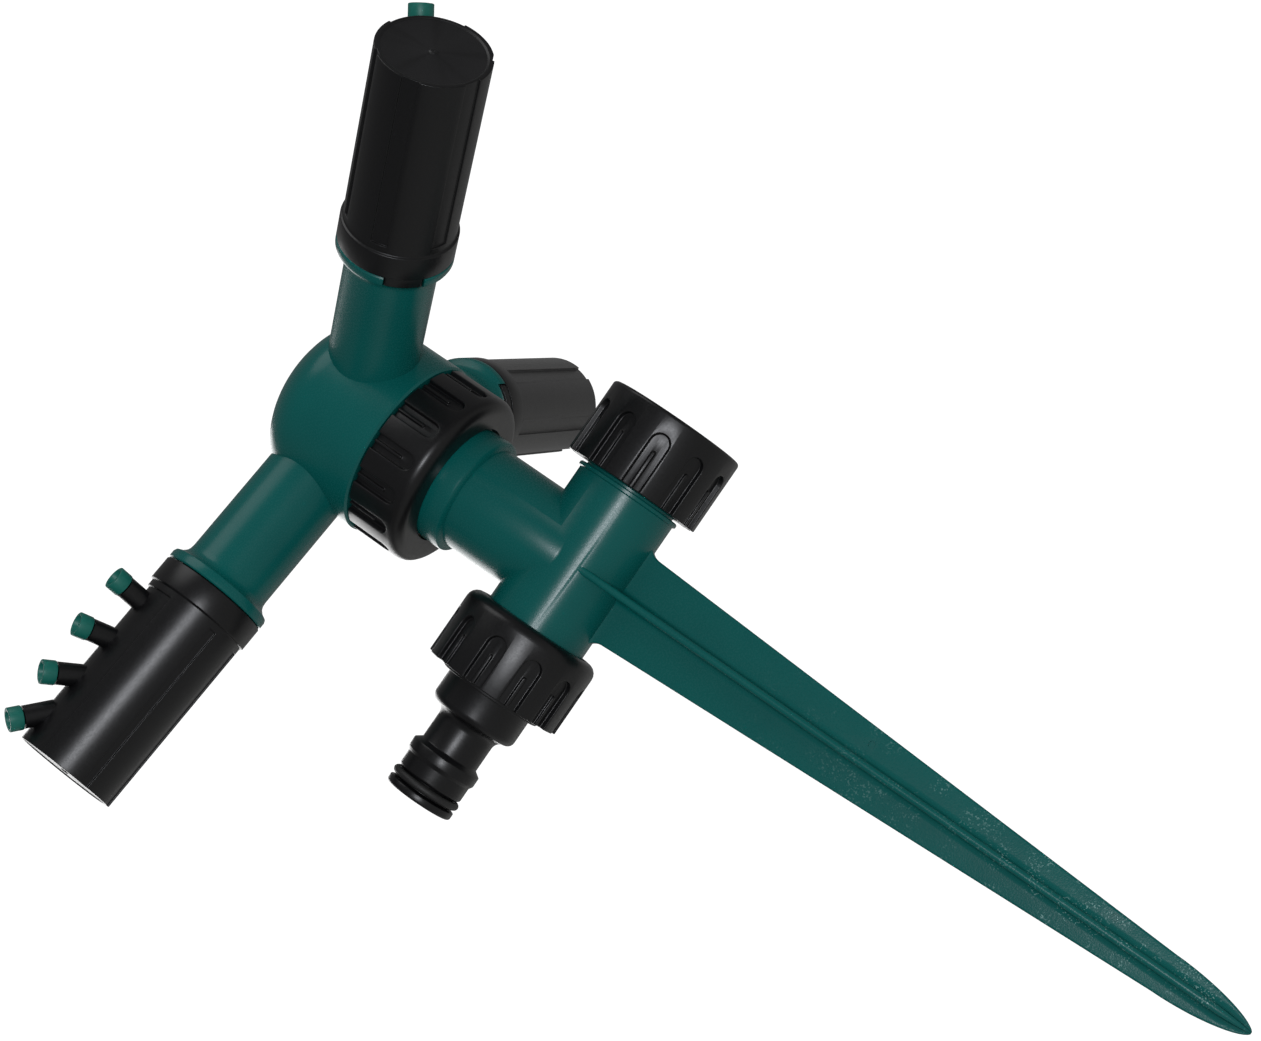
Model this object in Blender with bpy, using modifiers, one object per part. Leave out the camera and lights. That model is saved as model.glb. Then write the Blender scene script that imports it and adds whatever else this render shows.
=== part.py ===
"""Three-arm rotary lawn sprinkler on a ground spike.

Row frame, in metres: the origin is on the rotor's axis at the ground line, where the spike's blades start.
+Z runs up the rotor's axis, -X points to the hose connector and +X to the blank cap.
Heights named ..._Z are measured from the cross tube's axis, which lies CROSS_Z above the ground line.
"""
from math import asin, cos, degrees, pi, radians, sin

import bmesh
import bpy

MM = 0.001
GAP = 0.3 * MM
MERGE = 0.01 * MM
OVERRUN = 2.0 * MM

# Turning and cutting resolution
STEPS = 32
SMALL_STEPS = 24
JET_STEPS = 10
CORE_STEPS = 12

# Cross tube, with a male hose thread at each end
CROSS_Z = 18.0 * MM
CROSS_R = 13.2 * MM
CROSS_HALF = 30.0 * MM
CROSS_BORE_R = 9.5 * MM
SHOULDER_R = 13.8 * MM
SHOULDER_X = 20.2 * MM
SHOULDER_WIDTH = 1.3 * MM
THREAD_PITCH = 1.814 * MM
THREAD_MAJOR_R = 13.2 * MM
THREAD_MINOR_R = 12.2 * MM
THREAD_RIDGES = 4

# Riser and its collar
RISER_R = 13.5 * MM
RISER_BORE_R = 9.0 * MM
RISER_FOOT_Z = 2.0 * MM
COLLAR_R = 15.2 * MM
COLLAR_BASE_Z = 30.6 * MM
COLLAR_TOP_Z = 37.5 * MM
SOCKET_R = 11.5 * MM
SOCKET_FLOOR_Z = 22.0 * MM

# Spike blades: half-width falls evenly to the nose, which is rounded to a point
BLADE_TOP_Z = -2.0 * MM
BLADE_TOP_HALF = 12.65 * MM
NOSE_Z = -164.0 * MM
NOSE_HALF = 4.9 * MM
TIP_Z = -186.8 * MM
FRONT_BLADE_THICKNESS = 2.4 * MM
SIDE_BLADE_THICKNESS = 1.9 * MM
CORE_TOP_Z = -9.0 * MM
CORE_TOP_R = 2.6 * MM
CORE_NOSE_R = 2.2 * MM
ROOT_FILLET = 3.0 * MM
ROOT_TOP_Z = -11.0 * MM
SIDE_BLADE_LIFT = 0.3 * MM

# Swivel between the riser and the rotor
NUT_R = 22.9 * MM
NUT_BASE_Z = 36.5 * MM
NUT_TOP_Z = 52.0 * MM
NUT_LIP_TOP_Z = 39.0 * MM
NUT_HOLE_R = 15.7 * MM
NUT_BORE_R = 19.5 * MM
NUT_EDGE = 3.0 * MM
NUT_GROOVES = 15
NUT_GROOVE_TURN = 0.0
NUT_GROOVE_LENGTH = 11.8 * MM
NUT_GROOVE_HALF = 2.1 * MM
SPIGOT_BORE_R = 8.5 * MM
SPIGOT_SHANK_R = 11.2 * MM
SPIGOT_STEP_R = 14.7 * MM
FLANGE_R = 18.4 * MM
FLANGE_BASE_Z = 40.4 * MM
FLANGE_TOP_Z = 42.6 * MM
NOSE_R = 11.6 * MM
SPIGOT_TOP_Z = 56.0 * MM
SEAL_THICKNESS = 1.6 * MM

# Rotor hub and its three arms
HUB_R = 23.3 * MM
HUB_BASE_Z = 52.4 * MM
HUB_SHOULDER_Z = 72.5 * MM
HUB_TOP_Z = 86.0 * MM
NECK_R = 18.8 * MM
NECK_RIDGE_R = 19.2 * MM
NECK_RIDGE_DROP = 1.6 * MM
NECK_PITCH = 2.2 * MM
HUB_BORE_R = 12.0 * MM
CHAMBER_R = 19.5 * MM
CHAMBER_FLOOR_Z = 58.0 * MM
CHAMBER_TOP_Z = 80.0 * MM
ARM_Z = 67.7 * MM
ARM_AZIMUTHS = [radians(a) for a in (-47.1, 72.9, 192.9)]
ARM_START = 14.0 * MM
ARM_R = 11.0 * MM
ARM_BORE_R = 7.5 * MM
ARM_BORE_START = 12.0 * MM
ARM_BORE_STEPS = 20
FLARE_START = 51.5 * MM
FLARE_R = 13.9 * MM
ARM_MOUTH = 56.0 * MM
ARM_END = 71.0 * MM
ARM_SPIGOT_R = 10.3 * MM
GROOVE_AT = 61.0 * MM
GROOVE_WIDTH = 2.4 * MM
GROOVE_R = 8.7 * MM
ARM_RING_R = 9.8 * MM
ARM_RING_SECTION = 0.85 * MM

# Nozzle tubes and their jets
NOZZLE_LENGTH = 54.3 * MM
NOZZLE_R = 13.3 * MM
NOZZLE_BORE_R = 11.0 * MM
NOZZLE_END_WALL = 2.2 * MM
NOZZLE_COLLAR_R = 13.9 * MM
NOZZLE_COLLAR = 6.2 * MM
KEY_WIDTH = 9.0 * MM
KEY_INNER = 11.7 * MM
KEY_R = 13.6 * MM
KEY_REACH = 2.6 * MM
KEY_ROOT = 2.0 * MM
NOTCH_DEPTH = 4.0 * MM
JET_LEAN = radians(42.0)
JET_COUNT = 4
JET_FIRST = 12.4 * MM
JET_SPACING = 11.6 * MM
JET_FAN = radians(16.5)
STUB_R = 2.75 * MM
STUB_LENGTH = 4.5 * MM
STUB_BORE_R = 1.9 * MM
STUB_ROOT = 3.0 * MM
TIP_R = 2.95 * MM
TIP_LENGTH = 3.3 * MM
TIP_SHANK_R = 1.6 * MM
TIP_BORE_R = 0.9 * MM

# Blank cap and hose connector on the cross tube's ends
CAP_MOUTH_X = 22.2 * MM
CAP_R = 17.9 * MM
CAP_BORE_R = 13.5 * MM
CAP_END_X = 41.7 * MM
CAP_ROUND = 0.8 * MM
CAP_WASHER = 2.2 * MM
CAP_WASHER_BORE_R = 7.0 * MM
CAP_CORE_R = 9.0 * MM
CAP_CORE_DEPTH = 5.4 * MM
CAP_GROOVES = 11
CAP_GROOVE_TURN = radians(-8.4)
CAP_GROOVE_LENGTH = 14.6 * MM
CAP_GROOVE_HALF = 2.5 * MM
CONNECTOR_MOUTH_X = 17.4 * MM
CONNECTOR_COUNTERBORE_R = 14.3 * MM
CONNECTOR_COUNTERBORE_X = 22.2 * MM
CONNECTOR_END_X = 35.8 * MM
CONNECTOR_LIP = 1.7 * MM
CONNECTOR_HOLE_R = 11.6 * MM
CONNECTOR_BOSS_R = 13.2 * MM
CONNECTOR_BOSS = 0.9 * MM
CONNECTOR_WASHER = 1.6 * MM
CONNECTOR_ROUND = 2.8 * MM
CONNECTOR_GROOVE_LENGTH = 12.6 * MM
CONNECTOR_GROOVE_TURN = radians(25.4)
TAIL_BASE_X = 36.4 * MM
TAIL_FLANGE_R = 13.1 * MM
TAIL_FLANGE = 1.6 * MM
TAIL_BORE_R = 5.25 * MM
TAIL_LENGTH = 30.2 * MM
TAIL_ROOT_R = 11.25 * MM
TAIL_ROOT_REACH = 7.7 * MM
TAIL_WAIST_CENTRE_R = 10.15 * MM
TAIL_WAIST_AT = 10.7 * MM
TAIL_WAIST_ROUND = 2.6 * MM
TAIL_RING_AT = 26.7 * MM
TAIL_RING_R = 8.1 * MM
TAIL_RING_SECTION = 0.95 * MM
# The tail's outer side beyond its waist, as (radius, reach past TAIL_BASE_X): lip, O-ring seat, catch ridge
TAIL_OUTSIDE = [
    (8.5 * MM, 30.2 * MM),
    (8.85 * MM, 29.8 * MM),
    (8.85 * MM, 28.4 * MM),
    (8.0 * MM, 28.1 * MM),
    (7.0 * MM, 28.0 * MM),
    (7.0 * MM, 25.4 * MM),
    (8.2 * MM, 25.3 * MM),
    (8.5 * MM, 24.9 * MM),
    (8.5 * MM, 21.4 * MM),
    (9.1 * MM, 20.5 * MM),
    (9.1 * MM, 18.1 * MM),
    (7.55 * MM, 17.0 * MM),
]

# Finger grooves, each with a thin rib left standing along its middle
RIB_HALF = 0.45 * MM
GROOVE_DEPTH = 1.0 * MM

GREEN = (0.004, 0.095, 0.075)
BLACK = (0.012, 0.012, 0.013)
RUBBER = (0.020, 0.020, 0.020)
WHITE = (0.62, 0.62, 0.58)


def clear_scene():
    for obj in list(bpy.data.objects):
        bpy.data.objects.remove(obj, do_unlink=True)


def new_collection(name):
    group = bpy.data.collections.new(name)
    bpy.context.scene.collection.children.link(group)
    return group


def new_material(name, colour, roughness):
    material = bpy.data.materials.new(name)
    material.use_nodes = True
    shader = material.node_tree.nodes["Principled BSDF"]
    shader.inputs["Base Color"].default_value = (*colour, 1.0)
    shader.inputs["Roughness"].default_value = roughness
    shader.inputs["Metallic"].default_value = 0.0
    return material


clear_scene()
PARTS = new_collection("rotary_lawn_sprinkler")
CUTTERS = new_collection("cutters")


def empty(name, parent=None, location=(0, 0, 0), rotation=(0, 0, 0)):
    obj = bpy.data.objects.new(name, None)
    PARTS.objects.link(obj)
    return place(obj, parent, location, rotation)


def place(obj, parent=None, location=(0, 0, 0), rotation=(0, 0, 0)):
    obj.parent = parent
    obj.location = location
    obj.rotation_euler = rotation
    return obj


def as_part(obj, colour, roughness):
    obj.data.materials.clear()
    obj.data.materials.append(new_material(obj.name, colour, roughness))
    return obj


def as_cutter(obj):
    obj.hide_render = True
    obj.display_type = "WIRE"
    for group in list(obj.users_collection):
        group.objects.unlink(obj)
    CUTTERS.objects.link(obj)
    return obj


def turned(name, profile, steps=STEPS, ring=False, start=0.0):
    """Turn (radius, height) points about local Z: down the outer side, and for a ring back up inside."""
    mesh = bpy.data.meshes.new(name)
    count = len(profile)
    edges = [(i, i + 1) for i in range(count - 1)]
    if ring:
        edges.append((count - 1, 0))
    points = [(radius * cos(start), radius * sin(start), height) for radius, height in profile]
    mesh.from_pydata(points, edges, [])
    obj = bpy.data.objects.new(name, mesh)
    PARTS.objects.link(obj)
    screw = obj.modifiers.new("turn", "SCREW")
    screw.steps = steps
    screw.render_steps = steps
    screw.use_merge_vertices = True
    screw.merge_threshold = MERGE
    return obj


def rod(name, radius, bottom, top, steps=STEPS, start=0.0):
    return turned(name, [(0, top), (radius, top), (radius, bottom), (0, bottom)], steps, start=start)


def sleeve(name, outer, inner, bottom, top, steps=SMALL_STEPS):
    return turned(name, [(outer, top), (outer, bottom), (inner, bottom), (inner, top)], steps, ring=True)


def o_ring(name, radius, section, height, steps=SMALL_STEPS, sides=6):
    """A ring of round section; its points run clockwise, so the outer side is turned downwards."""
    angles = [-2 * pi * i / sides for i in range(sides)]
    profile = [(radius + section * cos(a), height + section * sin(a)) for a in angles]
    return turned(name, profile, steps, ring=True)


def plate(name, outline, thickness):
    """A flat outline in local XY, extruded to a plate and turned into a welded mesh."""
    curve = bpy.data.curves.new(name, "CURVE")
    curve.dimensions = "2D"
    curve.fill_mode = "BOTH"
    curve.extrude = thickness / 2
    spline = curve.splines.new("POLY")
    spline.points.add(len(outline) - 1)
    for point, (x, y) in zip(spline.points, outline):
        point.co = (x, y, 0, 1)
    spline.use_cyclic_u = True
    guide = bpy.data.objects.new(name + "_curve", curve)
    PARTS.objects.link(guide)
    mesh = evaluated_mesh(guide, name)
    bpy.data.objects.remove(guide, do_unlink=True)
    obj = bpy.data.objects.new(name, mesh)
    PARTS.objects.link(obj)
    return obj


def evaluated_mesh(obj, name):
    """The object's finished mesh, with its seams welded and its faces pointing out."""
    bpy.context.view_layer.update()
    graph = bpy.context.evaluated_depsgraph_get()
    mesh = bpy.data.meshes.new_from_object(obj.evaluated_get(graph), depsgraph=graph)
    mesh.name = name
    work = bmesh.new()
    work.from_mesh(mesh)
    bmesh.ops.remove_doubles(work, verts=work.verts, dist=MERGE / 10)
    bmesh.ops.recalc_face_normals(work, faces=work.faces)
    work.to_mesh(mesh)
    work.free()
    return mesh


def combine(obj, operation, *operands):
    for operand in operands:
        boolean = obj.modifiers.new(operation.lower(), "BOOLEAN")
        boolean.operation = operation
        boolean.solver = "EXACT"
        boolean.object = as_cutter(operand)
    return obj


def settle(obj):
    """Replace an object's modifiers with the mesh that they make, and shade its round sides smooth."""
    mesh = evaluated_mesh(obj, obj.name)
    obj.modifiers.clear()
    obj.data = mesh
    mesh.shade_smooth()
    mesh.set_sharp_from_angle(angle=radians(32))
    return obj


def arc(centre, radius, start, end, points):
    """Points on an arc, from one angle in degrees to another."""
    angles = [radians(start + (end - start) * i / (points - 1)) for i in range(points)]
    return [(centre[0] + radius * cos(a), centre[1] + radius * sin(a)) for a in angles]


def thread_profile(crest, root, top, ridges):
    """Down the outside of a threaded end: sharp ridges, one pitch apart, below a chamfered end face."""
    points = [(root - 0.4 * MM, top), (root, top - 0.5 * MM)]
    for i in range(ridges):
        ridge_top = top - 1.0 * MM - i * THREAD_PITCH
        points += [(crest, ridge_top - THREAD_PITCH / 2), (root, ridge_top - THREAD_PITCH)]
    return points


def horseshoe(length, half_width):
    """A finger groove's outline, round at the top and open at the bottom, with a rib's slot up its middle."""
    overrun = 3.0 * MM
    outer = arc((0, length - half_width), half_width, 180, 0, 7)
    inner = arc((0, length - 2 * half_width), RIB_HALF, 0, 180, 4)
    right_foot = [(half_width, -overrun), (RIB_HALF, -overrun)]
    left_foot = [(-RIB_HALF, -overrun), (-half_width, -overrun)]
    return [*outer, *right_foot, *inner, *left_foot]


def finger_grooves(name, count, radius, length, half_width, turn):
    """One mesh of horseshoe cutters round local Z, open at its foot, which stands at height 0."""
    blade = plate(name, horseshoe(length, half_width), 2 * GROOVE_DEPTH)
    work = bmesh.new()
    for i in range(count):
        start = len(work.verts)
        work.from_mesh(blade.data)
        work.verts.ensure_lookup_table()
        fresh = work.verts[start:]
        angle = turn + 2 * pi * i / count
        for vert in fresh:
            across, along, out = vert.co
            reach = radius + out
            x = reach * cos(angle) - across * sin(angle)
            y = reach * sin(angle) + across * cos(angle)
            vert.co = (x, y, along)
    bmesh.ops.recalc_face_normals(work, faces=work.faces)
    work.to_mesh(blade.data)
    work.free()
    return blade


def blade_half(z):
    """Half-width of the spike's blades at a height: an even taper, then a nose that rounds to the tip."""
    if z > NOSE_Z:
        share = (z - NOSE_Z) / (BLADE_TOP_Z - NOSE_Z)
        return NOSE_HALF + (BLADE_TOP_HALF - NOSE_HALF) * share
    share = (z - NOSE_Z) / (TIP_Z - NOSE_Z)
    return NOSE_HALF * max(0.0, 1 - share**1.8) ** 0.6


def nose_heights(count=9):
    return [NOSE_Z + (TIP_Z - NOSE_Z) * sin(pi / 2 * i / count) for i in range(count + 1)]


def mirrored(edge):
    """A closed outline from its right edge, which runs from the top down to the tip."""
    return edge + [(-x, z) for x, z in reversed(edge[:-1])]


def plain_outline():
    """The blade that runs front to back under the cross tube."""
    return mirrored([(blade_half(z), z) for z in [BLADE_TOP_Z, *nose_heights()]])


def rooted_outline():
    """The blade along the cross tube, which spreads into the tube with a fillet on each side."""
    foot = -CROSS_R - ROOT_FILLET + 0.6 * MM
    centre_x = blade_half(foot) + ROOT_FILLET
    fillet = arc((centre_x, foot), ROOT_FILLET, 90, 180, 5)
    edge = [(blade_half(z), z) for z in nose_heights()]
    return mirrored([(centre_x, ROOT_TOP_Z), *fillet, *edge])


def spike_core():
    """A tapering rod down the middle of the blades, rounded off inside their nose."""
    nose = [(min(CORE_NOSE_R, 0.8 * blade_half(z)), z) for z in nose_heights()[:-1]]
    profile = [(0, CORE_TOP_Z), (CORE_TOP_R, CORE_TOP_Z), *nose, (0, nose[-1][1])]
    return turned("core", profile, CORE_STEPS)


def cross_tube():
    """The cross tube, turned about its own axis, with a shoulder and a thread at each end."""
    shoulder_end = SHOULDER_X + SHOULDER_WIDTH
    shoulder = [
        (THREAD_MINOR_R, shoulder_end),
        (SHOULDER_R - 0.2 * MM, shoulder_end),
        (SHOULDER_R, shoulder_end - 0.2 * MM),
        (SHOULDER_R, SHOULDER_X + 0.3 * MM),
        (CROSS_R, SHOULDER_X),
    ]
    thread = thread_profile(THREAD_MAJOR_R, THREAD_MINOR_R, CROSS_HALF, THREAD_RIDGES)
    end = [(0, CROSS_HALF), *thread, *shoulder]
    return turned("cross_tube", end + [(r, -x) for r, x in reversed(end)])


def riser():
    profile = [
        (0, COLLAR_TOP_Z),
        (COLLAR_R - 0.3 * MM, COLLAR_TOP_Z),
        (COLLAR_R, COLLAR_TOP_Z - 0.3 * MM),
        (COLLAR_R + 0.2 * MM, COLLAR_BASE_Z + 0.8 * MM),
        (COLLAR_R - 0.2 * MM, COLLAR_BASE_Z + 0.1 * MM),
        (RISER_R, COLLAR_BASE_Z - 0.3 * MM),
        (RISER_R, RISER_FOOT_Z),
        (RISER_R - RISER_FOOT_Z, -RISER_FOOT_Z),
        (0, -RISER_FOOT_Z),
    ]
    return turned("spike_body", profile)


def spike_body(centre):
    """One moulding: spike, cross tube and riser, with the water's way bored through it."""
    across = (0, pi / 2, 0)
    body = place(riser(), centre)
    tube = place(cross_tube(), centre, rotation=across)
    front_blade = place(plate("front_blade", rooted_outline(), FRONT_BLADE_THICKNESS), centre)
    front_blade.rotation_euler = (pi / 2, 0, 0)
    side_blade = place(plate("side_blade", plain_outline(), SIDE_BLADE_THICKNESS), centre)
    side_blade.location = (0, 0, SIDE_BLADE_LIFT)
    side_blade.rotation_euler = (pi / 2, 0, pi / 2)
    core = place(spike_core(), centre)
    combine(body, "UNION", tube, front_blade, side_blade, core)
    long_bore = rod("cross_bore", CROSS_BORE_R, -CROSS_HALF - OVERRUN, CROSS_HALF + OVERRUN, SMALL_STEPS)
    up_bore = turned("riser_bore", [
        (0, COLLAR_TOP_Z + OVERRUN),
        (SOCKET_R, COLLAR_TOP_Z + OVERRUN),
        (SOCKET_R, SOCKET_FLOOR_Z),
        (RISER_BORE_R, SOCKET_FLOOR_Z),
        (RISER_BORE_R, -RISER_FOOT_Z),
        (0, -RISER_FOOT_Z),
    ], SMALL_STEPS)
    combine(body, "DIFFERENCE", place(long_bore, centre, rotation=across), place(up_bore, centre))
    return as_part(settle(body), GREEN, 0.42)


def swivel_spigot(centre):
    """The flanged sleeve fixed in the riser, round which the nut and the hub turn."""
    profile = [
        (NOSE_R - 0.5 * MM, SPIGOT_TOP_Z),
        (NOSE_R, SPIGOT_TOP_Z - 0.5 * MM),
        (NOSE_R, FLANGE_TOP_Z),
        (FLANGE_R, FLANGE_TOP_Z),
        (FLANGE_R, FLANGE_BASE_Z),
        (SPIGOT_STEP_R, FLANGE_BASE_Z),
        (SPIGOT_STEP_R, COLLAR_TOP_Z + GAP),
        (SPIGOT_SHANK_R, COLLAR_TOP_Z + GAP),
        (SPIGOT_SHANK_R, SOCKET_FLOOR_Z + GAP),
        (SPIGOT_BORE_R, SOCKET_FLOOR_Z + GAP),
        (SPIGOT_BORE_R, SPIGOT_TOP_Z),
    ]
    spigot = settle(turned("swivel_spigot", profile, SMALL_STEPS, ring=True))
    return as_part(place(spigot, centre), WHITE, 0.4)


def swivel_washers(centre):
    slip_bore = SPIGOT_STEP_R + GAP
    slip = sleeve("swivel_slip_washer", FLANGE_R, slip_bore, NUT_LIP_TOP_Z + GAP, FLANGE_BASE_Z - GAP)
    base = FLANGE_TOP_Z + GAP
    seal = sleeve("swivel_seal_washer", FLANGE_R, HUB_BORE_R, base, base + SEAL_THICKNESS)
    as_part(place(settle(slip), centre), WHITE, 0.45)
    as_part(place(settle(seal), centre), RUBBER, 0.7)


def swivel_nut(rotor):
    """The ring nut under the hub: its lip holds the spigot's flange, and its grooves open at its top."""
    edge = arc((NUT_R - NUT_EDGE, NUT_BASE_Z + NUT_EDGE), NUT_EDGE, 0, -90, 6)
    profile = [(NUT_R, NUT_TOP_Z), *edge, (NUT_HOLE_R, NUT_BASE_Z), (NUT_HOLE_R, NUT_LIP_TOP_Z)]
    profile += [(NUT_BORE_R, NUT_LIP_TOP_Z), (NUT_BORE_R, NUT_TOP_Z)]
    nut = place(turned("swivel_nut", profile, ring=True), rotor)
    size = (NUT_R, NUT_GROOVE_LENGTH, NUT_GROOVE_HALF)
    grooves = finger_grooves("swivel_grooves", NUT_GROOVES, *size, NUT_GROOVE_TURN)
    place(grooves, rotor, location=(0, 0, NUT_TOP_Z), rotation=(pi, 0, 0))
    combine(nut, "DIFFERENCE", grooves)
    return as_part(settle(nut), BLACK, 0.35)


def hub_outside():
    """The hub's dome, side and threaded neck."""
    rise = HUB_TOP_Z - HUB_SHOULDER_Z
    angles = [pi / 2 * i / 8 for i in range(9)]
    dome = [(HUB_R * sin(a), HUB_SHOULDER_Z + rise * cos(a)) for a in angles]
    neck_base = FLANGE_TOP_Z + 2 * GAP + SEAL_THICKNESS
    profile = [*dome, (HUB_R, HUB_BASE_Z + 0.5 * MM), (HUB_R - 0.5 * MM, HUB_BASE_Z), (NECK_R, HUB_BASE_Z)]
    for i in range(2):
        ridge = HUB_BASE_Z - NECK_RIDGE_DROP - i * NECK_PITCH
        profile += [(NECK_R, ridge + 0.6 * MM), (NECK_RIDGE_R, ridge), (NECK_R, ridge - 0.6 * MM)]
    profile += [(NECK_R, neck_base), (0, neck_base)]
    return turned("rotor_hub", profile)


def arm_outside(name):
    """One arm, turned about its own axis from inside the hub out to the spigot that its nozzle tube fits."""
    groove = GROOVE_WIDTH / 2
    profile = [
        (0, ARM_END),
        (ARM_SPIGOT_R - 0.4 * MM, ARM_END),
        (ARM_SPIGOT_R, ARM_END - 0.4 * MM),
        (ARM_SPIGOT_R, GROOVE_AT + groove),
        (GROOVE_R, GROOVE_AT + groove),
        (GROOVE_R, GROOVE_AT - groove),
        (ARM_SPIGOT_R, GROOVE_AT - groove),
        (ARM_SPIGOT_R, ARM_MOUTH),
        (FLARE_R - 0.2 * MM, ARM_MOUTH),
        (FLARE_R, ARM_MOUTH - 0.2 * MM),
        (FLARE_R, ARM_MOUTH - 2.0 * MM),
        (ARM_R + 1.6 * MM, ARM_MOUTH - 3.1 * MM),
        (ARM_R + 0.5 * MM, FLARE_START + 0.5 * MM),
        (ARM_R, FLARE_START - 1.0 * MM),
        (ARM_R, ARM_START),
        (0, ARM_START),
    ]
    return turned(name, profile, SMALL_STEPS)


def block(name, size, location, parent, rotation=(0, 0, 0)):
    """A box of the given size, centred at a place in its parent's frame."""
    mesh = bpy.data.meshes.new(name)
    work = bmesh.new()
    bmesh.ops.create_cube(work, size=1.0)
    bmesh.ops.scale(work, vec=size, verts=work.verts)
    bmesh.ops.translate(work, vec=location, verts=work.verts)
    work.to_mesh(mesh)
    work.free()
    obj = bpy.data.objects.new(name, mesh)
    PARTS.objects.link(obj)
    return place(obj, parent, rotation=rotation)


def arm_frame(rotor, number, azimuth):
    """An empty on the arm's axis: its Z runs outwards, and its X points down."""
    return empty(f"arm_{number}", rotor, (0, 0, ARM_Z), (0, pi / 2, azimuth))


def rotor_hub(rotor, arms):
    """The hub and its arms are one moulding, hollow from the swivel to each arm's end."""
    hub = place(hub_outside(), rotor)
    outsides = [place(arm_outside(f"outside_{i}"), arm) for i, arm in enumerate(arms)]
    combine(hub, "UNION", *outsides)
    chamber = turned("chamber", [
        (0, CHAMBER_TOP_Z),
        (CHAMBER_R * 0.6, CHAMBER_TOP_Z - 1 * MM),
        (CHAMBER_R, HUB_SHOULDER_Z),
        (CHAMBER_R, CHAMBER_FLOOR_Z),
        (HUB_BORE_R, CHAMBER_FLOOR_Z),
        (HUB_BORE_R, FLANGE_TOP_Z),
        (0, FLANGE_TOP_Z),
    ], SMALL_STEPS)
    bores = []
    notches = []
    notch_size = (NOTCH_DEPTH, KEY_WIDTH + 2 * GAP, KEY_REACH + 2 * GAP)
    notch_spot = (KEY_INNER - GAP + NOTCH_DEPTH / 2, 0, ARM_MOUTH - KEY_REACH / 2 + GAP / 2)
    for i, arm in enumerate(arms):
        bore = rod(f"arm_bore_{i}", ARM_BORE_R, ARM_BORE_START, ARM_END + OVERRUN, ARM_BORE_STEPS)
        bores.append(place(bore, arm))
        notches.append(block(f"key_notch_{i}", notch_size, notch_spot, arm, (0, 0, -JET_LEAN)))
    combine(hub, "DIFFERENCE", place(chamber, rotor), *bores)
    combine(hub, "DIFFERENCE", *notches)
    return as_part(settle(hub), GREEN, 0.42)


def nozzle_outside():
    """The tube's outer form along local Z, from its mouth at 0 to its closed end."""
    return turned("nozzle_tube", [
        (0, NOZZLE_LENGTH),
        (NOZZLE_R - 0.3 * MM, NOZZLE_LENGTH),
        (NOZZLE_R, NOZZLE_LENGTH - 0.3 * MM),
        (NOZZLE_R, NOZZLE_COLLAR + 0.3 * MM),
        (NOZZLE_COLLAR_R, NOZZLE_COLLAR),
        (NOZZLE_COLLAR_R, 0.3 * MM),
        (NOZZLE_COLLAR_R - 0.3 * MM, 0),
        (0, 0),
    ], SMALL_STEPS)


def jet_place(index):
    """Where a jet leaves the tube's wall, on the local +X side, and the turn that fans it outwards."""
    location = (NOZZLE_R, 0, JET_FIRST + index * JET_SPACING)
    return location, (0, pi / 2 - index * JET_FAN, 0)


def nozzle_mesh():
    """A closed tube with a key at its mouth and a row of bored stubs, made once for all three arms."""
    tube = nozzle_outside()
    half_step = pi / JET_STEPS
    stubs = []
    bores = []
    for i in range(JET_COUNT):
        location, turn = jet_place(i)
        stub = rod(f"stub_{i}", STUB_R, -STUB_ROOT, STUB_LENGTH, JET_STEPS, half_step)
        bore = rod(f"stub_bore_{i}", STUB_BORE_R, -2 * STUB_ROOT, STUB_LENGTH + OVERRUN, JET_STEPS, half_step)
        stubs.append(place(stub, None, location, turn))
        bores.append(place(bore, None, location, turn))
    combine(tube, "UNION", *stubs, nozzle_key())
    hollow = rod("hollow", NOZZLE_BORE_R, -OVERRUN, NOZZLE_LENGTH - NOZZLE_END_WALL, SMALL_STEPS)
    combine(tube, "DIFFERENCE", hollow, *bores)
    return settle(tube)


def nozzle_key():
    """The tab on the tube's mouth, which drops into the arm's notch and sets the way that the jets point."""
    half_angle = degrees(asin(KEY_WIDTH / 2 / KEY_R))
    outer = arc((0, 0), KEY_R, 180 - half_angle, 180 + half_angle, 5)
    outline = [*outer, (-KEY_INNER, -KEY_WIDTH / 2), (-KEY_INNER, KEY_WIDTH / 2)]
    return place(plate("key", outline, KEY_REACH + KEY_ROOT), None, (0, 0, (KEY_ROOT - KEY_REACH) / 2))


def nozzles(arms):
    master = nozzle_mesh()
    for number, arm in enumerate(arms, 1):
        tube = bpy.data.objects.new(f"nozzle_tube_{number}", master.data.copy())
        PARTS.objects.link(tube)
        place(tube, arm, (0, 0, ARM_MOUTH + GAP), (0, 0, pi - JET_LEAN))
        as_part(tube, BLACK, 0.36)
        jet_tips(tube, number)
        ring = o_ring(f"arm_o_ring_{number}", ARM_RING_R, ARM_RING_SECTION, GROOVE_AT)
        as_part(place(settle(ring), arm), RUBBER, 0.6)
    bpy.data.objects.remove(master, do_unlink=True)


def jet_tips(tube, number):
    """Soft tips: a collar that stands on the stub's end, and a shank inside the stub."""
    for i in range(JET_COUNT):
        location, turn = jet_place(i)
        end = STUB_LENGTH + GAP + TIP_LENGTH
        tip = turned(f"jet_tip_{number}_{i + 1}", [
            (TIP_R - 0.25 * MM, end),
            (TIP_R, end - 0.25 * MM),
            (TIP_R, STUB_LENGTH + GAP),
            (TIP_SHANK_R, STUB_LENGTH + GAP),
            (TIP_SHANK_R, 0.5 * MM),
            (TIP_BORE_R, 0.5 * MM),
            (TIP_BORE_R + 0.3 * MM, end),
        ], JET_STEPS, ring=True)
        as_part(place(settle(tip), tube, location, turn), GREEN, 0.5)


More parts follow.
